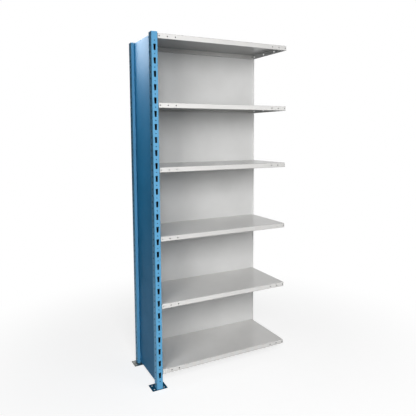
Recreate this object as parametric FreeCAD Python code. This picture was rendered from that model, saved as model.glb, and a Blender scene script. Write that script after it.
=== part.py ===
# Add-on bay of clip-type steel shelving: one slotted upright frame at the left, six sheet-metal
# shelves, a side panel and a back panel. The right-hand shelf ends and the back panel's right edge
# are open, ready for the posts of the next bay.
# Millimetres. X runs right along the shelves, Y runs from front to back, Z is up.
# The origin is on the floor under the middle of the bay.
import FreeCAD, Part
import math
import os
from FreeCAD import Vector

# Shelf pan
shelf_length = 914.4
shelf_depth = 406.4
shelf_flange = 30.2
shelf_sheet = 1.2
shelf_bend = 1.2
shelf_return = 12.7
front_hem = 12.0
return_end_setback = 22.0
shelf_hole_diameter = 8.0
shelf_hole_edge = 9.5
shelf_hole_pitch = 50.8
shelf_hole_count = 3
end_hole_diameter = 10.5
end_hole_spacing = 127.0
corner_relief = 1.0

# Posts: lipped channels, slotted on the outer face and holed down both sides
post_height = 2159.0
post_width = 38.1
post_depth = 47.6
post_sheet = 1.9
post_bend = 1.1
lip_gap = 1.6
slot_pitch = 76.2
slot_end_minimum = 80.0
slot_height = 35.0
slot_top_width = 15.6
slot_bottom_width = 12.0
slot_corner = 1.6
face_hole_diameter = 6.2
side_hole_diameter = 9.5
side_hole_pitch = 38.1
side_hole_rise = 12.7
side_hole_end_minimum = 50.0

# Places of the shelves: the bottom one by its least height, the top one by its drop from the posts' top
shelf_setback = 6.35
shelf_end_clearance = 0.6
bottom_shelf_minimum = 80.0
loose_shelves = ("fifth", "fourth", "third", "second")
top_shelf_drop = 6.35

# Side panel, at the posts' mid-plane
side_sheet = 0.9
side_bend = 0.9
side_flange = 16.0
side_edge_flange = 12.0
side_top_gap = 5.0
side_bottom_gap = 12.0
side_screw_count = 8
side_screw_end = 70.0
side_screw_edge = 6.0

# Back panel, between the posts of this bay and the next
back_sheet = 0.9
back_bend = 0.9
back_flange = 11.5
back_gap = 0.5
back_top_gap = 4.0
back_below_shelf = 14.0
back_hole_pitch = 76.2
back_hole_end = 40.0
back_hole_diameter = 5.0
back_screw_pitch = 228.6

# Foot plates
foot_width = 98.0
foot_depth = 80.0
foot_thickness = 3.0
foot_front_overhang = 3.0
foot_corner = 4.0
foot_hole_diameter = 10.0
foot_hole_edge_x = 17.0
foot_hole_edge_y = 17.5
ear_thickness = 2.5
ear_depth = 30.0
ear_height = 46.0
ear_clearance = 0.2
foot_bolt_height = 25.4

# Shelf clips: angles that hang on two hooks
clip_sheet = 1.9
clip_bend = 1.0
clip_width = 25.4
clip_ledge = 15.0
clip_tail = 9.0
clip_flange_gap = 1.35
hook_side_gap = 1.1
hook_drop = 4.0

# Fasteners
shelf_screw_play = 0.75
pan_screw_play = 0.4
fastener_clearance = 0.15
shelf_screw_length = 15.0
panel_screw_diameter = 4.8
panel_screw_length = 10.0
pan_screw_length = 8.0
pan_head_height = 2.0
pan_head_rounding = 1.2
foot_bolt_diameter = 6.0
foot_bolt_tail = 8.0
spacer_wall = 2.85

# Head sizes of the fasteners, as multiples of the shank's diameter
washer_per_shank = 2.2
washer_height_per_shank = 0.22
hexagon_per_shank = 1.65
screw_head_per_shank = 0.85
bolt_head_per_shank = 0.66
nut_per_shank = 0.85
pan_head_per_shank = 1.8

# How far a cutter runs past a face, and what counts as the same height
CUT = 1.0
TOUCH = 1e-6

# Sizes that follow from those above
shelf_end_gap = max(back_sheet + pan_head_height, clip_sheet) + shelf_end_clearance
shelf_screw_diameter = side_hole_diameter - 2 * shelf_screw_play
pan_screw_diameter = back_hole_diameter - 2 * pan_screw_play
hook_width = side_hole_diameter - 2 * hook_side_gap
frame_depth = shelf_depth + 2 * shelf_setback
bay_clear = shelf_length + 2 * shelf_end_gap
overall_width = foot_width / 2 + post_width / 2 + bay_clear
post_x = foot_width / 2 - overall_width / 2
bay_left = post_x + post_width / 2
bay_right = bay_left + bay_clear
shelf_left = bay_left + shelf_end_gap
front_y = -frame_depth / 2
post_base = foot_thickness
post_top = post_base + post_height
slot_count = int((post_height - 2 * slot_end_minimum) // slot_pitch) + 1
slot_first = (post_height - (slot_count - 1) * slot_pitch) / 2
side_hole_first = slot_first + side_hole_rise - side_hole_pitch
side_hole_room = post_height - side_hole_end_minimum - side_hole_first
side_hole_count = int(side_hole_room // side_hole_pitch) + 1
side_hole_depth = post_depth / 2
bolt_rise = shelf_flange / 2
bottom_bolt_minimum = bottom_shelf_minimum + bolt_rise - post_base
bottom_shelf_hole = math.ceil((bottom_bolt_minimum - side_hole_first) / side_hole_pitch)


def box(x0, x1, y0, y1, z0, z1):
    """A block between two corners."""
    return Part.makeBox(x1 - x0, y1 - y0, z1 - z0, Vector(x0, y0, z0))


def rod(diameter, length, base, axis):
    """A round bar from a base point along an axis."""
    return Part.makeCylinder(diameter / 2, length, base, axis)


def joined(shapes):
    """One solid out of pieces that share faces."""
    first, rest = shapes[0], shapes[1:]
    return first.multiFuse(rest).removeSplitter() if rest else first


def offset_corners(points, distance):
    """The corners of a polyline moved to its left by a distance."""
    lines = []
    for start, end in zip(points, points[1:]):
        run = (end - start).normalize()
        side = Vector(-run.y, run.x, 0) * distance
        lines.append((start + side, run))
    moved = [lines[0][0]]
    for (base, run), (next_base, next_run) in zip(lines, lines[1:]):
        cross = run.x * next_run.y - run.y * next_run.x
        gap = next_base - base
        moved.append(base + run * ((gap.x * next_run.y - gap.y * next_run.x) / cross))
    last_run = (points[-1] - points[-2]).normalize()
    moved.append(points[-1] + Vector(-last_run.y, last_run.x, 0) * distance)
    return moved


def straight(start, end):
    """The line between two points in a list, or an empty list where they meet."""
    return [Part.LineSegment(start, end).toShape()] if start.distanceToPoint(end) > TOUCH else []


def rounded_edges(points, radius):
    """The lines and arcs of an open polyline whose corners are rounded."""
    edges = []
    start = points[0]
    for before, corner, after in zip(points, points[1:], points[2:]):
        back = (before - corner).normalize()
        ahead = (after - corner).normalize()
        half = back.getAngle(ahead) / 2
        reach = radius / math.tan(half)
        middle = corner + (back + ahead).normalize() * (radius / math.sin(half) - radius)
        arc_start, arc_end = corner + back * reach, corner + ahead * reach
        edges += straight(start, arc_start)
        edges.append(Part.Arc(arc_start, middle, arc_end).toShape())
        start = arc_end
    return edges + straight(start, points[-1])


def folded_strip(corners, sheet, inside_radius, length):
    """A sheet folded along an outline and drawn out along Z.

    The outline is the outer face and turns left at every bend.
    """
    outer = [Vector(x, y, 0) for x, y in corners]
    inner = offset_corners(outer, sheet)
    outer_edges = rounded_edges(outer, inside_radius + sheet)
    inner_edges = rounded_edges(inner, inside_radius)
    ends = [
        Part.LineSegment(outer[0], inner[0]).toShape(),
        Part.LineSegment(outer[-1], inner[-1]).toShape(),
    ]
    wire = Part.Wire(Part.__sortEdges__(outer_edges + inner_edges + ends))
    return Part.Face(wire).extrude(Vector(0, 0, length))


def placed(shape, x_to, y_to, z_to, origin):
    """The shape with its own axes laid along three directions of the bay."""
    matrix = FreeCAD.Matrix(
        x_to.x, y_to.x, z_to.x, origin.x,
        x_to.y, y_to.y, z_to.y, origin.y,
        x_to.z, y_to.z, z_to.z, origin.z,
        0, 0, 0, 1)
    turned = shape.copy()
    turned.Placement = FreeCAD.Placement(matrix)
    return turned


def mirrored_front_to_back(shape):
    """The shape as it is at the other end of the frame's depth."""
    return shape.mirror(Vector(0, 0, 0), Vector(0, 1, 0))


def pointed(shape, base, direction):
    """A shape made along Z, moved to a base point and turned to a direction."""
    turned = shape.copy()
    turned.Placement = FreeCAD.Placement(base, FreeCAD.Rotation(Vector(0, 0, 1), direction))
    return turned


def hexagon(across_flats, height):
    """A six-sided prism on the XY plane."""
    sides = 6
    corner = across_flats / 2 / math.cos(math.pi / sides)
    turns = [math.tau * number / sides for number in range(sides + 1)]
    points = [Vector(corner * math.cos(turn), corner * math.sin(turn), 0) for turn in turns]
    return Part.Face(Part.makePolygon(points)).extrude(Vector(0, 0, height))


def shank(diameter, length):
    """A screw's shank down from the XY plane, with a tapered tip."""
    tip = diameter / 2
    straight = rod(diameter, length - tip, Vector(0, 0, 0), Vector(0, 0, -1))
    point = Part.makeCone(diameter / 2, diameter / 4, tip, Vector(0, 0, tip - length), Vector(0, 0, -1))
    return straight.fuse(point)


def washer_head_screw(diameter, length):
    """A hexagon screw with its own washer, its seat on the XY plane."""
    thickness = washer_height_per_shank * diameter
    washer = rod(washer_per_shank * diameter, thickness, Vector(0, 0, 0), Vector(0, 0, 1))
    head = hexagon(hexagon_per_shank * diameter, screw_head_per_shank * diameter)
    return joined([washer, head, shank(diameter, length)])


def pan_head_screw(diameter, length):
    """A low round-headed screw, its seat on the XY plane."""
    head = rod(pan_head_per_shank * diameter, pan_head_height, Vector(0, 0, 0), Vector(0, 0, 1))
    rim = [e for e in head.Edges if abs(e.BoundBox.ZMin - pan_head_height) < TOUCH]
    head = head.makeFillet(pan_head_rounding, rim)
    return joined([head, shank(diameter, length)])


def side_hole_height(number):
    """Height of a hole in the posts' side rows, counted from the bottom."""
    return post_base + side_hole_first + number * side_hole_pitch


def shelf_bottom(hole):
    """Height of a shelf's flange bottom when its end holes meet a given hole of the posts."""
    return side_hole_height(hole) - bolt_rise


def loose_shelf_heights():
    """Each loose shelf's flange bottom, on the first hole above an even share of the height."""
    holes_up = (top_shelf_z - bottom_shelf_z) / side_hole_pitch
    holes_apart = holes_up / (len(loose_shelves) + 1)
    heights = {}
    for number, name in enumerate(loose_shelves, 1):
        heights[name] = shelf_bottom(bottom_shelf_hole + math.ceil(number * holes_apart))
    return heights


bottom_shelf_z = shelf_bottom(bottom_shelf_hole)
top_shelf_z = post_top - top_shelf_drop - shelf_flange
fixed_shelf_z = (bottom_shelf_z, top_shelf_z)
side_bottom = post_base + side_bottom_gap
side_top = post_top - side_top_gap
side_screw_step = (side_top - side_bottom - 2 * side_screw_end) / (side_screw_count - 1)
side_screw_heights = [side_bottom + side_screw_end + n * side_screw_step for n in range(side_screw_count)]
side_screw_x = post_x - side_sheet / 2 + side_flange - side_screw_edge
back_face_y = front_y + shelf_setback + shelf_depth + back_gap
back_bottom = bottom_shelf_z - back_below_shelf
back_top = post_top - back_top_gap
back_hole_count = int((back_top - back_bottom - 2 * back_hole_end) // back_hole_pitch) + 1
back_hole_first = back_bottom + (back_top - back_bottom - (back_hole_count - 1) * back_hole_pitch) / 2
back_hole_heights = [back_hole_first + n * back_hole_pitch for n in range(back_hole_count)]
back_screw_step = round(back_screw_pitch / back_hole_pitch)
back_screw_heights = back_hole_heights[1::back_screw_step]
back_outer_y = back_face_y + back_sheet
back_screw_y = back_outer_y - (back_flange + back_bend + back_sheet) / 2
side_row_y = front_y + side_hole_depth
shelf_end_hole_y = (side_row_y, -end_hole_spacing / 2, end_hole_spacing / 2, -side_row_y)


def tapered_slot():
    """Cutter for one slot of the outer face, wide at the top, centred on the origin."""
    half = slot_height / 2
    corners = [(-slot_bottom_width / 2, -half), (slot_bottom_width / 2, -half),
               (slot_top_width / 2, half), (-slot_top_width / 2, half)]
    points = [Vector(x, -CUT, z) for x, z in corners]
    outline = Part.makePolygon(points + points[:1])
    block = Part.Face(outline).extrude(Vector(0, post_sheet + 2 * CUT, 0))
    upright = [e for e in block.Edges if abs(e.tangentAt(e.FirstParameter).y) > 0.9]
    return block.makeFillet(slot_corner, upright)


def front_post_blank():
    """The front post with the slots and holes that both posts have."""
    half = post_width / 2
    corners = [(-lip_gap / 2, post_depth), (-half, post_depth), (-half, 0),
               (half, 0), (half, post_depth), (lip_gap / 2, post_depth)]
    post = folded_strip(corners, post_sheet, post_bend, post_height)
    slot = tapered_slot()
    cutters = []
    for number in range(slot_count):
        height = slot_first + number * slot_pitch
        cutters.append(slot.translated(Vector(0, 0, height)))
    for number in range(slot_count + 1):
        base = Vector(0, -CUT, slot_first + (number - 0.5) * slot_pitch)
        cutters.append(rod(face_hole_diameter, post_sheet + 2 * CUT, base, Vector(0, 1, 0)))
    for number in range(side_hole_count):
        height = side_hole_first + number * side_hole_pitch
        base = Vector(-half - CUT, side_hole_depth, height)
        cutters.append(rod(side_hole_diameter, post_width + 2 * CUT, base, Vector(1, 0, 0)))
    foot_hole = foot_bolt_diameter + 2 * fastener_clearance
    base = Vector(-half - CUT, side_hole_depth, foot_bolt_height)
    cutters.append(rod(foot_hole, post_width + 2 * CUT, base, Vector(1, 0, 0)))
    post = post.cut(cutters)
    return post.translated(Vector(post_x, front_y, post_base))


def bay_wall_hole(diameter, y, z):
    """Cutter through the wall of a post that faces the bay."""
    base = Vector(bay_left - post_sheet - CUT, y, z)
    return rod(diameter, post_sheet + 2 * CUT, base, Vector(1, 0, 0))


def lip_holes():
    """Cutters for the side panel's screws in the front post's lip and the panel's flange."""
    diameter = panel_screw_diameter + 2 * fastener_clearance
    base_y = front_y + post_depth - post_sheet - CUT
    depth = post_sheet + side_sheet + 2 * CUT
    return [rod(diameter, depth, Vector(side_screw_x, base_y, z), Vector(0, 1, 0))
            for z in side_screw_heights]


def make_posts():
    """Front and rear post with the holes that only this bay's screws need."""
    top_bolt_z = top_shelf_z + bolt_rise
    own = lip_holes() + [bay_wall_hole(side_hole_diameter, side_row_y, top_bolt_z)]
    front = front_post_blank().cut(own)
    screw_hole = pan_screw_diameter + 2 * fastener_clearance
    panel_holes = [bay_wall_hole(screw_hole, back_screw_y, z) for z in back_screw_heights]
    rear = mirrored_front_to_back(front).cut(panel_holes)
    return {"front_post": front, "rear_post": rear}


def make_side_panel():
    """Sheet at the posts' mid-plane, its flanges turned into the bay and laid on the posts' lips."""
    lip_y = front_y + post_depth
    width = -2 * lip_y
    height = side_top - side_bottom
    outer_bend = side_sheet + side_bend
    section = [(side_flange, 0), (0, 0), (0, width), (side_flange, width)]
    web = folded_strip(section[::-1], side_sheet, side_bend, height)
    edge_start = side_sheet + corner_relief
    clear = width - 2 * edge_start
    trims = []
    pieces = []
    for level, up in ((0, 1), (height, -1)):
        low, high = sorted((level - up * CUT, level + up * outer_bend))
        trims.append(box(-CUT, outer_bend, edge_start, width - edge_start, low, high))
        bend = [(0, outer_bend), (0, 0), (side_edge_flange, 0)]
        edge = folded_strip(bend, side_sheet, side_bend, clear)
        turned = placed(edge, Vector(1, 0, 0), Vector(0, 0, up), Vector(0, -up, 0), Vector(0, 0, 0))
        start = edge_start + (clear if up > 0 else 0)
        pieces.append(turned.translated(Vector(0, start, level)))
    flange_trim = side_edge_flange + outer_bend
    for y0 in (-CUT, width - edge_start):
        for low, high in ((-CUT, outer_bend), (height - outer_bend, height + CUT)):
            trims.append(box(outer_bend, flange_trim + side_flange, y0, y0 + edge_start + CUT, low, high))
    panel = joined([web.cut(trims)] + pieces)
    panel = panel.translated(Vector(post_x - side_sheet / 2, lip_y, side_bottom))
    holes = lip_holes()
    return panel.cut(holes + [mirrored_front_to_back(h) for h in holes])


def make_side_panel_screws():
    """Screws through the side panel's flanges into the lips of both posts."""
    screw = washer_head_screw(panel_screw_diameter, panel_screw_length)
    seat_y = front_y + post_depth + side_sheet
    front = [pointed(screw, Vector(side_screw_x, seat_y, z), Vector(0, 1, 0)) for z in side_screw_heights]
    return Part.makeCompound(front + [mirrored_front_to_back(s) for s in front])


def make_back_panel():
    """Sheet behind the shelves, its upright edges turned forward against the posts' walls."""
    height = back_top - back_bottom
    edge_y = back_outer_y - back_flange
    section = [(bay_left, edge_y), (bay_left, back_outer_y), (bay_right, back_outer_y), (bay_right, edge_y)]
    panel = folded_strip(section[::-1], back_sheet, back_bend, height)
    panel = panel.translated(Vector(0, 0, back_bottom))
    cutters = []
    for z in back_hole_heights:
        base = Vector(bay_left - CUT, back_screw_y, z)
        cutters.append(rod(back_hole_diameter, bay_clear + 2 * CUT, base, Vector(1, 0, 0)))
    diameter = panel_screw_diameter + 2 * fastener_clearance
    for x, z in back_flange_screw_places():
        base = Vector(x, back_face_y - CUT, z)
        cutters.append(rod(diameter, back_sheet + 2 * CUT, base, Vector(0, 1, 0)))
    return panel.cut(cutters)


def make_back_panel_screws():
    """Low screws through the back panel's left flange into the rear post."""
    screw = pan_head_screw(pan_screw_diameter, pan_screw_length)
    seat_x = bay_left + back_sheet
    return Part.makeCompound(
        [pointed(screw, Vector(seat_x, back_screw_y, z), Vector(1, 0, 0)) for z in back_screw_heights])


def back_flange_screw_places():
    """Places of the screws between the fixed shelves' back flanges and the back panel."""
    ends = (shelf_left + shelf_hole_edge, shelf_left + shelf_length - shelf_hole_edge)
    return [(x, z + bolt_rise) for z in fixed_shelf_z for x in ends]


def make_back_flange_screws():
    """Screws from inside the fixed shelves' back flanges into the back panel."""
    screw = washer_head_screw(panel_screw_diameter, panel_screw_length)
    seat_y = front_y + shelf_setback + shelf_depth - shelf_sheet
    return Part.makeCompound(
        [pointed(screw, Vector(x, seat_y, z), Vector(0, -1, 0)) for x, z in back_flange_screw_places()])


def shelf_pan():
    """A shelf with its flange bottoms at height zero, in its place along X and Y.

    Its front edge is box-formed: down, inward and up again.
    """
    near = front_y + shelf_setback
    far = near + shelf_depth
    outer_bend = shelf_sheet + shelf_bend
    # The section is drawn with its X towards the front
    front, back = -near, -far
    corners = [(front - shelf_return, front_hem), (front - shelf_return, 0), (front, 0), (front, shelf_flange),
               (back, shelf_flange), (back, 0), (back + shelf_return, 0)]
    section = folded_strip(corners, shelf_sheet, shelf_bend, shelf_length)
    open_end = Vector(shelf_left + shelf_length, 0, 0)
    pan = placed(section, Vector(0, -1, 0), Vector(0, 0, 1), Vector(-1, 0, 0), open_end)
    end_start = near + outer_bend + corner_relief
    end_length = shelf_depth - 2 * (outer_bend + corner_relief)
    trims = []
    ends = []
    for end_x, inward in ((shelf_left + shelf_length, -1), (shelf_left, 1)):
        x0, x1 = sorted((end_x - inward * CUT, end_x + inward * outer_bend))
        end_stop = end_start + end_length
        trims.append(box(x0, x1, end_start, end_stop, shelf_flange - outer_bend, shelf_flange + CUT))
        x0, x1 = sorted((end_x - inward * CUT, end_x + inward * return_end_setback))
        trims.append(box(x0, x1, near + outer_bend, near + shelf_return + CUT, -CUT, front_hem + CUT))
        trims.append(box(x0, x1, far - shelf_return - CUT, far - outer_bend, -CUT, outer_bend))
        profile = [(outer_bend, shelf_flange), (0, shelf_flange), (0, 0)]
        end = folded_strip(profile, shelf_sheet, shelf_bend, end_length)
        turned = placed(end, Vector(inward, 0, 0), Vector(0, 0, 1), Vector(0, -inward, 0), Vector(0, 0, 0))
        start = end_start + (end_length if inward > 0 else 0)
        ends.append(turned.translated(Vector(end_x, start, 0)))
    pan = joined([pan.cut(trims)] + ends)
    return pan.cut(shelf_holes(near, far))


def shelf_holes(near, far):
    """Cutters for the holes of a shelf's four flanges."""
    cutters = []
    for number in range(shelf_hole_count):
        reach = shelf_hole_edge + number * shelf_hole_pitch
        for x in (shelf_left + reach, shelf_left + shelf_length - reach):
            for y in (near - CUT, far - shelf_sheet - CUT):
                base = Vector(x, y, bolt_rise)
                cutters.append(rod(shelf_hole_diameter, shelf_sheet + 2 * CUT, base, Vector(0, 1, 0)))
    for x in (shelf_left + shelf_length - shelf_sheet - CUT, shelf_left - CUT):
        for y in shelf_end_hole_y:
            base = Vector(x, y, bolt_rise)
            cutters.append(rod(end_hole_diameter, shelf_sheet + 2 * CUT, base, Vector(1, 0, 0)))
    return cutters


def make_shelves():
    """All six shelves at their heights."""
    heights = {"top": top_shelf_z, "bottom": bottom_shelf_z, **loose_shelf_heights()}
    pan = shelf_pan()
    return {f"{name}_shelf": pan.translated(Vector(0, 0, z)) for name, z in heights.items()}


def front_clip():
    """A clip in its place on the front post, its ledge's top at height zero."""
    outer_y = clip_flange_gap + back_flange - back_outer_y
    upper_hook = bolt_rise - side_hole_pitch
    lower_hook = upper_hook - side_hole_pitch
    profile = [(clip_ledge, 0), (0, 0), (0, lower_hook - clip_tail)]
    angle = folded_strip(profile, clip_sheet, clip_bend, clip_width)
    base = Vector(bay_left, outer_y + clip_width, 0)
    pieces = [placed(angle, Vector(1, 0, 0), Vector(0, 0, 1), Vector(0, -1, 0), base)]
    seat = math.sqrt((side_hole_diameter / 2) ** 2 - (hook_width / 2) ** 2) - fastener_clearance
    inner_x = bay_left - post_sheet - fastener_clearance
    for hole_z in (upper_hook, lower_hook):
        low = hole_z - seat
        y0, y1 = side_row_y - hook_width / 2, side_row_y + hook_width / 2
        pieces.append(box(inner_x - clip_sheet, bay_left, y0, y1, low, low + clip_sheet))
        pieces.append(box(inner_x - clip_sheet, inner_x, y0, y1, low - hook_drop, low))
    return joined(pieces)


def make_clips():
    """A front and a rear clip under each loose shelf."""
    clip = front_clip()
    clips = {}
    for name, z in loose_shelf_heights().items():
        front = clip.translated(Vector(0, 0, z))
        clips[f"{name}_shelf_front_clip"] = front
        clips[f"{name}_shelf_rear_clip"] = mirrored_front_to_back(front)
    return clips


def make_fixed_shelf_fasteners():
    """Screws and spacers that hold the top and bottom shelf to the posts."""
    screw = washer_head_screw(shelf_screw_diameter, shelf_screw_length)
    hole = shelf_screw_diameter + 2 * fastener_clearance
    pieces = {}
    for name, z in (("bottom", bottom_shelf_z), ("top", top_shelf_z)):
        screws, spacers = [], []
        for y in (side_row_y, -side_row_y):
            seat = Vector(shelf_left + shelf_sheet, y, z + bolt_rise)
            screws.append(pointed(screw, seat, Vector(1, 0, 0)))
            base = Vector(bay_left, y, z + bolt_rise)
            ring = rod(hole + 2 * spacer_wall, shelf_end_gap, base, Vector(1, 0, 0))
            spacers.append(ring.cut(rod(hole, shelf_end_gap, base, Vector(1, 0, 0))))
        pieces[f"{name}_shelf_screws"] = Part.makeCompound(screws)
        pieces[f"{name}_shelf_spacers"] = Part.makeCompound(spacers)
    return pieces


def make_foot_plates():
    """A holed plate under each post, with two ears that stand inside the post."""
    left, right = post_x - foot_width / 2, post_x + foot_width / 2
    near = front_y - foot_front_overhang
    far = near + foot_depth
    plate = box(left, right, near, far, 0, foot_thickness)
    upright = [e for e in plate.Edges if abs(e.tangentAt(e.FirstParameter).z) > 0.9]
    plate = plate.makeFillet(foot_corner, upright)
    ears = []
    for side in (-1, 1):
        outer = post_x + side * (post_width / 2 - post_sheet - ear_clearance)
        x0, x1 = sorted((outer, outer - side * ear_thickness))
        y0 = side_row_y - ear_depth / 2
        ears.append(box(x0, x1, y0, y0 + ear_depth, foot_thickness, foot_thickness + ear_height))
    cutters = []
    for x in (left + foot_hole_edge_x, right - foot_hole_edge_x):
        for y in (near + foot_hole_edge_y, far - foot_hole_edge_y):
            base = Vector(x, y, -CUT)
            cutters.append(rod(foot_hole_diameter, foot_thickness + 2 * CUT, base, Vector(0, 0, 1)))
    bolt_base = Vector(post_x - post_width / 2, side_row_y, post_base + foot_bolt_height)
    bolt_hole = foot_bolt_diameter + 2 * fastener_clearance
    cutters.append(rod(bolt_hole, post_width, bolt_base, Vector(1, 0, 0)))
    front = joined([plate] + ears).cut(cutters)
    return {"front_foot_plate": front, "rear_foot_plate": mirrored_front_to_back(front)}


def make_foot_fasteners():
    """A bolt and a nut across each post and the ears inside it."""
    height = post_base + foot_bolt_height
    across = hexagon_per_shank * foot_bolt_diameter
    head = hexagon(across, bolt_head_per_shank * foot_bolt_diameter)
    length = post_width + foot_bolt_tail
    bolt = joined([head, rod(foot_bolt_diameter, length, Vector(0, 0, 0), Vector(0, 0, -1))])
    hole = rod(foot_bolt_diameter, foot_bolt_diameter, Vector(0, 0, 0), Vector(0, 0, 1))
    nut = hexagon(across, nut_per_shank * foot_bolt_diameter).cut(hole)
    bolts = [pointed(bolt, Vector(post_x - post_width / 2, y, height), Vector(-1, 0, 0))
             for y in (side_row_y, -side_row_y)]
    nuts = [pointed(nut, Vector(bay_left, y, height), Vector(1, 0, 0))
            for y in (side_row_y, -side_row_y)]
    return {"foot_bolts": Part.makeCompound(bolts), "foot_nuts": Part.makeCompound(nuts)}


def make_nodes():
    """Every named piece of the bay."""
    nodes = {}
    nodes.update(make_posts())
    nodes["side_panel"] = make_side_panel()
    nodes["side_panel_screws"] = make_side_panel_screws()
    nodes["back_panel"] = make_back_panel()
    nodes["back_panel_screws"] = make_back_panel_screws()
    nodes["back_flange_screws"] = make_back_flange_screws()
    nodes.update(make_foot_plates())
    nodes.update(make_foot_fasteners())
    nodes.update(make_shelves())
    nodes.update(make_fixed_shelf_fasteners())
    nodes.update(make_clips())
    return nodes


os.makedirs("parts", exist_ok=True)
for name, shape in make_nodes().items():
    shape.exportStep(os.path.join("parts", name + ".step"))
    print(name, len(shape.Solids), shape.isValid(), round(shape.Volume, 1))
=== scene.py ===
"""Looks of a steel shelving bay: finishes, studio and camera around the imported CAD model."""

import logging
import math
from dataclasses import dataclass, field
from enum import Enum
from typing import Any

import bpy
from mathutils import Matrix, Vector

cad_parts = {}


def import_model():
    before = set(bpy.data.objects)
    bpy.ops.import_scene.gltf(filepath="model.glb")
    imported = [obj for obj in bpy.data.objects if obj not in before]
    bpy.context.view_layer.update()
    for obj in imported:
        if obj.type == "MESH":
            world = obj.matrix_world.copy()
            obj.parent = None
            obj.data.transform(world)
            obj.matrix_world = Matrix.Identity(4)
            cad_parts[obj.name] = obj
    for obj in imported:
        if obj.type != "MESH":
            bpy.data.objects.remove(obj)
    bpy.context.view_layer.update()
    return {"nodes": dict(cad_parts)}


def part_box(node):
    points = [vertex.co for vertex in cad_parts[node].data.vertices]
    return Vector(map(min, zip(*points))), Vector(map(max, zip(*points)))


Tree = bpy.types.NodeTree
Socket = bpy.types.NodeSocket
Point = tuple[float, float, float]
Colour = tuple[float, float, float, float]
Span = tuple[float, float]

LOG = logging.getLogger("shelving_bay")
MM = 0.001
IMAGE_PIXELS = 416.0
SENSOR_MM = 36.0
# The sRGB standard's curve: straight below the knee, a power above it.
SRGB_KNEE, SRGB_SLOPE, SRGB_OFFSET, SRGB_POWER = 0.04045, 12.92, 0.055, 2.4
# Places of the colours on Blender's mix node.
COLOUR_A, COLOUR_B, COLOUR_OUT = 6, 7, 2
BOLTED_LEVELS = ("top", "bottom")
LOOSE_LEVELS = ("second", "third", "fourth", "fifth")
SHELVES = tuple(f"{level}_shelf" for level in ("top", *LOOSE_LEVELS, "bottom"))
LOWER_SHELVES = SHELVES[1:]
LOW_PIECES = ("fifth_shelf", "bottom_shelf", "back_panel")
SHEET_PIECES = SHELVES + ("back_panel",)
POSTS = ("front_post", "rear_post")
SIDE_PANEL = ("side_panel",)
REAR_PIECES = ("back_panel", "back_panel_screws", "rear_post")


def linear(hex_colour: str) -> Colour:
    """Turns an sRGB hex colour into the linear colour that shaders take.

    Args:
        hex_colour: a hash sign and six hex digits.

    Returns:
        Linear red, green and blue, and an alpha of one.
    """
    shares = [int(hex_colour[i:i + 2], 16) / 255.0 for i in (1, 3, 5)]
    red, green, blue = (share / SRGB_SLOPE if share <= SRGB_KNEE
                        else ((share + SRGB_OFFSET) / (1.0 + SRGB_OFFSET)) ** SRGB_POWER
                        for share in shares)
    return red, green, blue, 1.0


def per_metre(spacing_mm: float) -> float:
    """Works out the texture scale that repeats a pattern at a real spacing.

    Args:
        spacing_mm: distance from one repeat to the next.

    Returns:
        Repeats in a metre.
    """
    return 1.0 / (spacing_mm * MM)


def around(middle: float, width: float) -> Span:
    """Works out both ends of a range.

    Args:
        middle: middle of the range.
        width: distance between its ends.

    Returns:
        The lower and the upper end.
    """
    return middle - width / 2, middle + width / 2


def add_node(tree: Tree, kind: str, inputs: dict[str | int, Any] | None = None,
             **settings: Any) -> bpy.types.Node:
    """Adds one shader node with its settings, constants and links.

    Args:
        tree: node tree that gets the node.
        kind: Blender's type name of the node.
        inputs: what each input takes, by its name or place: another node's output or a constant.
        **settings: properties of the node itself.

    Returns:
        The new node.
    """
    node = tree.nodes.new(kind)
    for name, setting in settings.items():
        setattr(node, name, setting)
    for key, source in (inputs or {}).items():
        if isinstance(source, Socket):
            tree.links.new(source, node.inputs[key])
        else:
            node.inputs[key].default_value = source
    return node


def calculate(tree: Tree, operation: str, *terms: Socket | float) -> Socket:
    """Adds one step of arithmetic.

    Args:
        tree: node tree that gets the step.
        operation: Blender's name of the operation.
        *terms: outputs or constants, in the order of the node's inputs.

    Returns:
        The result.
    """
    return add_node(tree, "ShaderNodeMath", dict(enumerate(terms)), operation=operation).outputs[0]


def measure(tree: Tree, operation: str, *vectors: Socket) -> Socket:
    """Adds one vector step that gives a number.

    Args:
        tree: node tree that gets the step.
        operation: Blender's name of the operation.
        *vectors: outputs, in the order of the node's inputs.

    Returns:
        The number.
    """
    step = add_node(tree, "ShaderNodeVectorMath", dict(enumerate(vectors)), operation=operation)
    return step.outputs["Value"]


def split(tree: Tree, vector: Socket) -> bpy.types.NodeOutputs:
    """Adds the node that takes a vector apart.

    Args:
        tree: node tree that gets the node.
        vector: output to take apart.

    Returns:
        The outputs X, Y and Z.
    """
    return add_node(tree, "ShaderNodeSeparateXYZ", {"Vector": vector}).outputs


def face_direction(tree: Tree) -> Socket:
    """Adds the node that tells where a face looks, without bump or smoothing.

    Args:
        tree: node tree that gets the node.

    Returns:
        The face's normal.
    """
    return add_node(tree, "ShaderNodeNewGeometry").outputs["True Normal"]


def noise(tree: Tree, place: Socket, spacing_mm: float, detail: float) -> Socket:
    """Adds soft random patches of a real size.

    Args:
        tree: node tree that gets the patches.
        place: texture place on the piece.
        spacing_mm: distance from one patch to the next.
        detail: how many finer layers are added.

    Returns:
        A value from zero to one, mostly near the middle.
    """
    patches = add_node(tree, "ShaderNodeTexNoise",
                       {"Vector": place, "Scale": per_metre(spacing_mm), "Detail": detail})
    return patches.outputs["Fac"]


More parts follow.
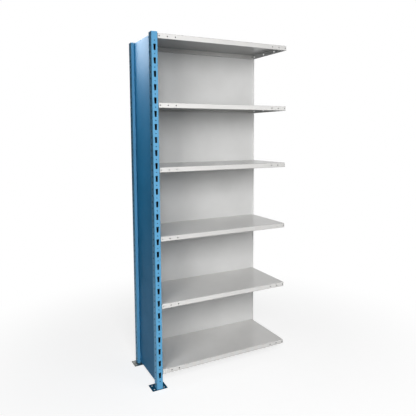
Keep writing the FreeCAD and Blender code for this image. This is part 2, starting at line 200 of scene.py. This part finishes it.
def stretch(tree: Tree, value: Socket, before: Span = (0.0, 1.0), after: Span = (0.0, 1.0),
            **settings: Any) -> Socket:
    """Adds the node that carries one range over to another.

    Args:
        tree: node tree that gets the node.
        value: output to carry over.
        before: where the value's range starts and ends.
        after: what becomes of these two ends.
        **settings: properties of the node itself.

    Returns:
        The new value, which stays between the ends.
    """
    ends = {"From Min": before[0], "From Max": before[1], "To Min": after[0], "To Max": after[1]}
    return add_node(tree, "ShaderNodeMapRange", {"Value": value, **ends}, **settings).outputs[0]


def mix(tree: Tree, share: Socket, first: Socket | Colour, second: Socket | Colour) -> Socket:
    """Adds the node that blends two colours.

    Args:
        tree: node tree that gets the node.
        share: how much of the second colour shows.
        first: colour where the share is zero.
        second: colour where the share is one.

    Returns:
        The blended colour.
    """
    colours = {COLOUR_A: first, COLOUR_B: second}
    return add_node(tree, "ShaderNodeMix", {0: share, **colours}, data_type="RGBA").outputs[COLOUR_OUT]


def new_material(name: str) -> tuple[bpy.types.Material, Tree]:
    """Makes an empty node material.

    Args:
        name: name of the material.

    Returns:
        The material and its node tree.
    """
    material = bpy.data.materials.new(name)
    material.use_nodes = True
    material.node_tree.nodes.clear()
    return material, material.node_tree


def flat_sheet(name: str, corners: list[Point], material: bpy.types.Material) -> bpy.types.Object:
    """Makes a flat sheet of the studio.

    Args:
        name: name of the sheet.
        corners: its corners, one after the other.
        material: what it is made of.

    Returns:
        The sheet, in the scene.
    """
    mesh = bpy.data.meshes.new(name)
    mesh.from_pydata(corners, [], [tuple(range(len(corners)))])
    mesh.materials.append(material)
    sheet = bpy.data.objects.new(name, mesh)
    bpy.context.scene.collection.objects.link(sheet)
    return sheet


@dataclass(frozen=True)
class PowderCoat:
    """Polyester powder, sprayed on sheet steel and cured in an oven.

    It gives the eye a satin skin with a fine orange peel, soft clouds where the film is thicker,
    and a paler line along cut edges and bends, partly wear where the powder draws back and partly painted
    highlight.
    """

    name: str
    colour: str
    cloud_colour: str
    edge_wear_and_highlight_colour: str
    roughness: float = 0.46
    roughness_spread: float = 0.10
    specular: float = 0.5
    cloud_mm: float = 170.0
    cloud_detail: float = 4.0
    # Values of the noise between which the film goes from thin to thick.
    cloud_span: Span = (0.35, 0.68)
    # The real peel is about 1.5 mm from crest to crest. It is drawn coarser so that it shows.
    peel_mm: float = 7.0
    peel_detail: float = 1.0
    peel_height_mm: float = 0.05
    edge_mm: float = 1.6
    edge_samples: int = 4
    # Cosine of the turn from a face to its rounded edge, where the pale line starts and where it is full.
    edge_span: Span = (0.98, 0.75)
    edge_share: float = 0.5
    edge_break_mm: float = 14.0
    edge_break_detail: float = 2.0
    # Values of the noise between which a broken line goes from hidden to shown.
    edge_break_span: Span = (0.4, 0.6)

    def build(self) -> bpy.types.Material:
        """Makes the coat's material.

        Returns:
            The material, ready for a slot.
        """
        material, tree = new_material(self.name)
        place = add_node(tree, "ShaderNodeTexCoord").outputs["Object"]
        cloud = noise(tree, place, self.cloud_mm, self.cloud_detail)
        film = stretch(tree, cloud, self.cloud_span)
        body = mix(tree, film, linear(self.colour), linear(self.cloud_colour))
        # Paler edges: partly wear where the powder draws back, partly painted highlight along the edges.
        worn_and_highlit = mix(tree, self.edge_wear_and_highlight_mask(tree, place), body, linear(self.edge_wear_and_highlight_colour))
        peel = noise(tree, place, self.peel_mm, self.peel_detail)
        bump = add_node(tree, "ShaderNodeBump",
                        {"Height": peel, "Strength": 1.0, "Distance": self.peel_height_mm * MM})
        rough = stretch(tree, cloud, after=around(self.roughness, self.roughness_spread))
        coat = add_node(tree, "ShaderNodeBsdfPrincipled",
                        {"Base Color": self.top_layer(tree, place, worn_and_highlit), "Roughness": rough,
                         "Normal": bump.outputs[0], "Specular IOR Level": self.specular})
        add_node(tree, "ShaderNodeOutputMaterial", {"Surface": coat.outputs[0]})
        return material

    def top_layer(self, tree: Tree, place: Socket, colour: Socket) -> Socket:
        """Leaves the colour as it is. A coat that differs by place changes it here.

        Args:
            tree: the coat's node tree.
            place: texture place on the piece.
            colour: the coat's colour so far.

        Returns:
            The colour that the shader takes.
        """
        return colour

    def edge_wear_and_highlight_mask(self, tree: Tree, place: Socket) -> Socket:
        """Adds the nodes that find edges, which get a paler colour, partly as wear and partly as painted
        highlight.

        Args:
            tree: the coat's node tree.
            place: texture place on the piece.

        Returns:
            How much of the edge's colour shows: nothing away from edges, broken stretches along them.
        """
        rounded = add_node(tree, "ShaderNodeBevel", {"Radius": self.edge_mm * MM},
                           samples=self.edge_samples)
        facing = add_node(tree, "ShaderNodeNewGeometry").outputs["Normal"]
        turn = measure(tree, "DOT_PRODUCT", rounded.outputs[0], facing)
        edge = stretch(tree, turn, self.edge_span)
        patches = noise(tree, place, self.edge_break_mm, self.edge_break_detail)
        broken = stretch(tree, patches, self.edge_break_span, (0.0, self.edge_share))
        return calculate(tree, "MULTIPLY", edge, broken)


@dataclass(frozen=True)
class PostCoat(PowderCoat):
    """Powder coat on a roll-formed post.

    It gives the eye black slots and holes: every face inside the post is painted near-black as painted
    shade.
    """

    post: str = "front_post"
    # Painted shade: near-black on every face inside the post, so the slots and holes fall dark.
    inside_shade_colour: str = "#0B0D0F"
    # Faces that look outward count as the post's skin beyond this distance from its middle.
    skin_reach_mm: float = 12.0

    def top_layer(self, tree: Tree, place: Socket, colour: Socket) -> Socket:
        """Adds the nodes that paint shade on every face that doesn't look out from its post's middle.

        Args:
            tree: the coat's node tree.
            place: texture place on the piece.
            colour: the coat's colour so far.

        Returns:
            The colour that the shader takes.
        """
        low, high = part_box(self.post)
        middle = (low + high) / 2
        axes = split(tree, place)
        across = calculate(tree, "SUBTRACT", axes["X"], middle.x)
        # The rear post is the front one mirrored, so the sign of Y says whose middle counts.
        post_side = calculate(tree, "SIGN", axes["Y"])
        deep = calculate(tree, "MULTIPLY_ADD", post_side, middle.y, axes["Y"])
        from_middle = add_node(tree, "ShaderNodeCombineXYZ", {"X": across, "Y": deep}).outputs[0]
        outward = measure(tree, "DOT_PRODUCT", from_middle, face_direction(tree))
        # The faces inside the post get painted shade.
        inside = calculate(tree, "LESS_THAN", outward, self.skin_reach_mm * MM)
        return mix(tree, inside, colour, linear(self.inside_shade_colour))


@dataclass(frozen=True)
class ShelfCoat(PowderCoat):
    """Powder coat on a folded shelf, with painted shade inside the pan.

    It gives the eye decks that mirror the back panel a little at a flat angle, undersides darkened
    by painted shade, and dark dots of painted shade at the holes of the box-formed front edge.
    """

    shelf: str = "top_shelf"
    # Painted shade: near-black on the upright faces inside the front edge, so the holes show as dark dots.
    inside_shade_colour: str = "#0B0D0F"
    # Painted shade under the deck and inside the end flanges.
    under_shade_colour: str = "#959695"
    # How far behind the shelf's front the inside of the box-formed edge starts and ends.
    edge_reach_mm: Span = (0.2, 12.2)
    # Faces that look inward count as an end flange's inside beyond this distance from the middle.
    end_reach_mm: float = 300.0
    # Upward share of a face's direction, under which the face counts as upright.
    upright_limit: float = 0.5

    def top_layer(self, tree: Tree, place: Socket, colour: Socket) -> Socket:
        """Adds the nodes that paint shade under the deck, inside the end flanges and inside the front edge.

        Args:
            tree: the coat's node tree.
            place: texture place on the piece.
            colour: the coat's colour so far.

        Returns:
            The colour that the shader takes.
        """
        # Painted shade under the deck and inside the end flanges.
        under_shaded = mix(tree, self.pan_shade_mask(tree, place), colour, linear(self.under_shade_colour))
        # The upright faces inside the front edge get near-black painted shade.
        return mix(tree, self.edge_inside_shade(tree, place), under_shaded, linear(self.inside_shade_colour))

    def pan_shade_mask(self, tree: Tree, place: Socket) -> Socket:
        """Adds the nodes that find the deck's underside and the insides of the end flanges, which get
        painted shade.

        Args:
            tree: the coat's node tree.
            place: texture place on the piece.

        Returns:
            A socket that is one on those faces and zero elsewhere.
        """
        low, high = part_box(self.shelf)
        lean = split(tree, face_direction(tree))
        from_middle = calculate(tree, "SUBTRACT", split(tree, place)["X"], (low.x + high.x) / 2)
        outward = calculate(tree, "MULTIPLY", from_middle, lean["X"])
        end = calculate(tree, "LESS_THAN", outward, -self.end_reach_mm * MM)
        under = calculate(tree, "LESS_THAN", lean["Z"], -self.upright_limit)
        return calculate(tree, "MAXIMUM", under, end)

    def edge_inside_shade(self, tree: Tree, place: Socket) -> Socket:
        """Adds the nodes that find the upright faces inside the front edge, which get painted shade.

        Args:
            tree: the coat's node tree.
            place: texture place on the piece.

        Returns:
            A socket that is one on those faces and zero elsewhere.
        """
        low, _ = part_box(self.shelf)
        start, stop = (low.y + reach * MM for reach in self.edge_reach_mm)
        depth = split(tree, place)["Y"]
        behind = calculate(tree, "GREATER_THAN", depth, start)
        before = calculate(tree, "LESS_THAN", depth, stop)
        within = calculate(tree, "MULTIPLY", behind, before)
        tilt = calculate(tree, "ABSOLUTE", split(tree, face_direction(tree))["Z"])
        upright = calculate(tree, "LESS_THAN", tilt, self.upright_limit)
        return calculate(tree, "MULTIPLY", within, upright)


@dataclass(frozen=True)
class ZincPlate:
    """Bright zinc, electroplated on steel and passivated clear.

    It gives the eye a cool satin metal with faint blue and straw patches and a crystalline shimmer.
    """

    name: str
    colour: str
    patch_colour: str
    roughness: float = 0.36
    roughness_spread: float = 0.22
    patch_mm: float = 26.0
    patch_detail: float = 3.0
    # Values of the noise between which one tint goes over to the other.
    patch_span: Span = (0.35, 0.65)
    # Real electroplated grain is far below a millimetre. It is drawn coarser so that it shows.
    grain_mm: float = 3.0

    def build(self) -> bpy.types.Material:
        """Makes the plating's material.

        Returns:
            The material, ready for a slot.
        """
        material, tree = new_material(self.name)
        place = add_node(tree, "ShaderNodeTexCoord").outputs["Object"]
        patches = noise(tree, place, self.patch_mm, self.patch_detail)
        tint = stretch(tree, patches, self.patch_span)
        colour = mix(tree, tint, linear(self.colour), linear(self.patch_colour))
        grain = add_node(tree, "ShaderNodeTexVoronoi", {"Vector": place, "Scale": per_metre(self.grain_mm)})
        rough = stretch(tree, grain.outputs["Color"], after=around(self.roughness, self.roughness_spread))
        metal = add_node(tree, "ShaderNodeBsdfPrincipled",
                         {"Base Color": colour, "Roughness": rough, "Metallic": 1.0})
        add_node(tree, "ShaderNodeOutputMaterial", {"Surface": metal.outputs[0]})
        return material


class Finish(Enum):
    """The finishes that the bay's pieces have."""

    # The posts and the side panel carry one blue paint. The posts' copy is lighter and greyer than the
    # panel's, as a painted sheen on the posts.
    POST_COAT_WITH_PAINTED_SHEEN = PostCoat("powder_coated_steel_blue", "#62A8D3", "#5BA1CC", "#92BEDC", specular=0.2)
    PANEL_COAT = PowderCoat("powder_coated_steel_blue_sheet", "#2F8FC6", "#2B88BD", "#79B2D6",
                            roughness=0.55, specular=0.2)
    DARK_COAT = PowderCoat("powder_coated_steel_dark_blue", "#1B5F7E", "#175775", "#4A7C95", specular=0.12)
    SHELF_COAT = ShelfCoat("powder_coated_steel_light_grey", "#D1D0CE", "#CCCBC9", "#DCDBD9",
                           roughness=0.25, roughness_spread=0.06)
    BACK_COAT = PowderCoat("powder_coated_steel_light_grey_sheet", "#D1D1D0", "#CCCCCB", "#DCDCDB",
                           roughness=0.5, specular=0.25)
    ZINC = ZincPlate("zinc_electroplated_steel", "#868884", "#7A7D7E")


@dataclass
class FinishShop:
    """Makes each finish once and puts it on pieces."""

    made: dict[Finish, bpy.types.Material] = field(default_factory=dict)

    def coat(self, piece: bpy.types.Object, finish: Finish) -> None:
        """Gives a piece its finish.

        Args:
            piece: object that gets the material.
            finish: the finish it has.
        """
        if finish not in self.made:
            self.made[finish] = finish.value.build()
        piece.data.materials.clear()
        piece.data.materials.append(self.made[finish])
        LOG.info("%s: %s", piece.name, finish.value.name)


@dataclass
class UprightFrame:
    """The left-hand frame: two slotted posts, the panel between them, and their feet."""

    nodes: dict[str, bpy.types.Object]
    posts: tuple[str, ...] = POSTS
    sheet: tuple[str, ...] = SIDE_PANEL
    dark: tuple[str, ...] = ("front_foot_plate",)
    plated: tuple[str, ...] = ("rear_foot_plate", "side_panel_screws", "foot_bolts", "foot_nuts")

    def dress(self, shop: FinishShop) -> None:
        """Gives every piece of the frame its finish.

        Args:
            shop: where the finishes are made.
        """
        for names, finish in ((self.posts, Finish.POST_COAT_WITH_PAINTED_SHEEN), (self.sheet, Finish.PANEL_COAT),
                              (self.dark, Finish.DARK_COAT), (self.plated, Finish.ZINC)):
            for name in names:
                shop.coat(self.nodes[name], finish)


@dataclass
class BackSheet:
    """The panel behind the shelves, with the screws that hold it."""

    nodes: dict[str, bpy.types.Object]
    panel: str = "back_panel"
    screws: tuple[str, ...] = ("back_panel_screws", "back_flange_screws")

    def dress(self, shop: FinishShop) -> None:
        """Gives the panel and its screws their finishes.

        Args:
            shop: where the finishes are made.
        """
        shop.coat(self.nodes[self.panel], Finish.BACK_COAT)
        for name in self.screws:
            shop.coat(self.nodes[name], Finish.ZINC)


@dataclass
class ShelfSet:
    """Six shelf pans, two bolted and four on clips."""

    nodes: dict[str, bpy.types.Object]
    bolted: tuple[str, ...] = BOLTED_LEVELS
    loose: tuple[str, ...] = LOOSE_LEVELS
    fixings: tuple[str, ...] = ("screws", "spacers")
    corners: tuple[str, ...] = ("front", "rear")

    def dress(self, shop: FinishShop) -> None:
        """Gives the pans, their clips and their fixings their finishes.

        Args:
            shop: where the finishes are made.
        """
        for level in self.bolted + self.loose:
            shop.coat(self.nodes[f"{level}_shelf"], Finish.SHELF_COAT)
        held = [f"{level}_shelf_{fixing}" for level in self.bolted for fixing in self.fixings]
        held += [f"{level}_shelf_{corner}_clip" for level in self.loose for corner in self.corners]
        for name in held:
            shop.coat(self.nodes[name], Finish.ZINC)


@dataclass(frozen=True)
class Softbox:
    """A square studio lamp with a soft front, in metres and watts.

    It lights every piece, or only those that it names, and coats mirror it unless it is out of gloss.
    """

    name: str
    place: Point
    aim: Point
    width: float
    power: float
    only: tuple[str, ...] = ()
    in_gloss: bool = True

    def light(self, nodes: dict[str, bpy.types.Object]) -> None:
        """Hangs the lamp and turns it to what it lights.

        Args:
            nodes: the bay's pieces, of which the lamp may light only some.
        """
        lamp = bpy.data.lights.new(self.name, "AREA")
        lamp.size = self.width
        lamp.energy = self.power
        stand = bpy.data.objects.new(self.name, lamp)
        stand.location = self.place
        stand.visible_glossy = self.in_gloss
        stand.rotation_euler = (Vector(self.aim) - Vector(self.place)).to_track_quat("-Z", "Y").to_euler()
        bpy.context.scene.collection.objects.link(stand)
        if self.only:
            lit = bpy.data.collections.new(f"{self.name}_reach")
            for name in self.only:
                lit.objects.link(nodes[name])
            stand.light_linking.receiver_collection = lit
        LOG.info("%s: %.1f W", self.name, self.power)


@dataclass(frozen=True)
class DarkFlag:
    """A dark board beside the bay, in metres, which keeps light off the side panel and out of its gloss."""

    colour: str = "#2A2B2D"
    across: float = -1.6
    along: Span = (-0.6, 6.0)
    height: float = 3.0

    def stand_up(self) -> None:
        """Makes the board and hides it from the camera."""
        near, far = self.along
        outline = ((near, 0.0), (far, 0.0), (far, self.height), (near, self.height))
        material, tree = new_material("black_felt_flag")
        felt = add_node(tree, "ShaderNodeBsdfDiffuse", {"Color": linear(self.colour)})
        add_node(tree, "ShaderNodeOutputMaterial", {"Surface": felt.outputs[0]})
        board = flat_sheet("dark_flag", [(self.across, y, z) for y, z in outline], material)
        board.visible_camera = False


@dataclass(frozen=True)
class Studio:
    """Plain white floor and surround with soft lamps, in metres."""

    floor_width: float = 60.0
    floor_drop: float = 0.4 * MM
    floor_colour: str = "#C8C8C8"
    shadow_colour: str = "#BCBCBC"
    floor_lift: float = 0.77
    # Distances from the bay's middle where the shaded floor starts and ends to run out into white.
    shadow_reach: Span = (0.7, 2.2)
    surround_colour: str = "#FFFFFF"
    white_strength: float = 1.0
    ambient: float = 0.05
    lamps: tuple[Softbox, ...] = (
        Softbox("left_softbox", (-3.0, -2.4, 1.95), (0.0, 0.0, 1.0), 1.6, 105.0, SHEET_PIECES),
        Softbox("camera_softbox", (-1.4, -3.6, 2.6), (0.0, 0.0, 1.1), 1.6, 80.0),
        Softbox("right_softbox", (1.9, -3.6, 2.7), (0.0, 0.0, 1.1), 2.6, 28.0),
        Softbox("low_shelf_softbox", (0.8, -2.4, 0.3), (0.1, -0.2, 0.25), 0.8, 9.0, LOW_PIECES,
                in_gloss=False),
        Softbox("shelf_end_softbox", (1.6, -2.2, 1.8), (0.5, -0.2, 1.2), 0.8, 6.0, LOWER_SHELVES,
                in_gloss=False),
        Softbox("open_end_softbox", (3.4, 0.0, 1.0), (0.5, 0.0, 1.0), 1.6, 20.0, SHELVES,
                in_gloss=False),
        Softbox("post_softbox", (0.6, -3.0, 1.2), (-0.4, 0.0, 1.1), 1.6, 28.0, POSTS),
        Softbox("low_post_softbox", (-1.25, -0.7, 0.25), (-0.46, -0.1, 0.3), 0.4, 3.0, POSTS),
        Softbox("panel_top_softbox", (-0.8, 0.0, 2.21), (-0.45, 0.0, 2.05), 0.3, 0.5, SIDE_PANEL),
        Softbox("panel_gloss_softbox", (-0.88, 1.23, 2.6), (-0.45, 0.0, 2.05), 0.8, 28.0, SIDE_PANEL),
        Softbox("rear_softbox", (0.9, 4.4, 2.4), (0.0, 0.0, 1.1), 2.0, 110.0, REAR_PIECES),
    )
    flag: DarkFlag = DarkFlag()

    def seen_share(self, tree: Tree) -> Socket:
        """Adds the nodes that tell seen and mirrored rays from lighting ones.

        Args:
            tree: node tree of the floor or the surround.

        Returns:
            A socket that is one for camera, glossy and transmission rays.
        """
        rays = add_node(tree, "ShaderNodeLightPath").outputs
        direct = calculate(tree, "MAXIMUM", rays["Is Camera Ray"], rays["Is Glossy Ray"])
        return calculate(tree, "MAXIMUM", direct, rays["Is Transmission Ray"])

    def floor_material(self) -> bpy.types.Material:
        """Makes the floor's paint: white to the eye, pale in the light that it throws back.

        Returns:
            The floor's material.
        """
        material, tree = new_material("matt_white_floor_paint")
        white = linear(self.surround_colour)
        thrown = add_node(tree, "ShaderNodeBsdfDiffuse", {"Color": linear(self.floor_colour)})
        shaded = add_node(tree, "ShaderNodeBsdfDiffuse", {"Color": linear(self.shadow_colour)})
        lift = add_node(tree, "ShaderNodeEmission", {"Color": white, "Strength": self.floor_lift})
        near = add_node(tree, "ShaderNodeAddShader", {0: shaded.outputs[0], 1: lift.outputs[0]})
        far = add_node(tree, "ShaderNodeEmission", {"Color": white, "Strength": self.white_strength})
        place = add_node(tree, "ShaderNodeTexCoord").outputs["Object"]
        run_out = stretch(tree, measure(tree, "LENGTH", place), self.shadow_reach,
                          interpolation_type="SMOOTHSTEP")
        looked_at = add_node(tree, "ShaderNodeMixShader",
                             {0: run_out, 1: near.outputs[0], 2: far.outputs[0]})
        mixed = add_node(tree, "ShaderNodeMixShader",
                         {0: self.seen_share(tree), 1: thrown.outputs[0], 2: looked_at.outputs[0]})
        add_node(tree, "ShaderNodeOutputMaterial", {"Surface": mixed.outputs[0]})
        return material

    def lay_floor(self) -> None:
        """Lays the floor just under the feet."""
        half = self.floor_width / 2
        outline = ((-half, -half), (half, -half), (half, half), (-half, half))
        floor = flat_sheet("studio_floor", [(x, y, -self.floor_drop) for x, y in outline],
                           self.floor_material())

    def hang_surround(self) -> None:
        """Sets the world: white to the eye, softer as light."""
        world = bpy.data.worlds.new("white_surround")
        world.use_nodes = True
        tree = world.node_tree
        tree.nodes.clear()
        white = linear(self.surround_colour)
        light = add_node(tree, "ShaderNodeBackground", {"Color": white, "Strength": self.ambient})
        seen = add_node(tree, "ShaderNodeBackground", {"Color": white, "Strength": self.white_strength})
        mixed = add_node(tree, "ShaderNodeMixShader",
                         {0: self.seen_share(tree), 1: light.outputs[0], 2: seen.outputs[0]})
        add_node(tree, "ShaderNodeOutputWorld", {"Surface": mixed.outputs[0]})
        bpy.context.scene.world = world

    def build(self, nodes: dict[str, bpy.types.Object]) -> None:
        """Sets up the floor, the surround, the flag and the lamps.

        Args:
            nodes: the bay's pieces.
        """
        self.lay_floor()
        self.hang_surround()
        self.flag.stand_up()
        for lamp in self.lamps:
            lamp.light(nodes)
        bpy.context.scene.view_settings.view_transform = "Standard"


@dataclass(frozen=True)
class PhotoCamera:
    """The camera, placed and turned to give the photograph's view.

    Angles are in radians. The centre row is the picture's row that the camera's axis meets.
    """

    place_mm: Point = (-1404.9, -2735.7, 1571.2)
    yaw: float = 0.4752
    pitch: float = 0.0995
    roll: float = 0.0054
    focal_pixels: float = 456.6
    centre_row: float = 180.0

    def axes(self) -> Matrix:
        """Works out the camera's right, up and back directions.

        Returns:
            A rotation with those directions as its columns.
        """
        ahead = Vector((math.sin(self.yaw) * math.cos(self.pitch),
                        math.cos(self.yaw) * math.cos(self.pitch), -math.sin(self.pitch)))
        level = Vector((math.cos(self.yaw), -math.sin(self.yaw), 0.0))
        down = ahead.cross(level)
        right = math.cos(self.roll) * level + math.sin(self.roll) * down
        under = -math.sin(self.roll) * level + math.cos(self.roll) * down
        return Matrix((right, -under, -ahead)).transposed()

    def set_up(self) -> None:
        """Makes the scene's camera."""
        data = bpy.data.cameras.new("photo_camera")
        data.sensor_width = SENSOR_MM
        data.lens = self.focal_pixels / IMAGE_PIXELS * SENSOR_MM
        data.shift_y = (self.centre_row - IMAGE_PIXELS / 2) / IMAGE_PIXELS
        camera = bpy.data.objects.new("photo_camera", data)
        camera.matrix_world = Matrix.Translation(Vector(self.place_mm) * MM) @ self.axes().to_4x4()
        bpy.context.scene.collection.objects.link(camera)
        bpy.context.scene.camera = camera


def main() -> None:
    """Loads the frame, dresses each sub-assembly and sets up the studio."""
    logging.basicConfig(level=logging.INFO, format="%(message)s")
    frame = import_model()
    shop = FinishShop()
    nodes = frame["nodes"]
    for part in (UprightFrame(nodes), BackSheet(nodes), ShelfSet(nodes)):
        part.dress(shop)
    Studio().build(nodes)
    PhotoCamera().set_up()


if __name__ == "__main__":
    main()
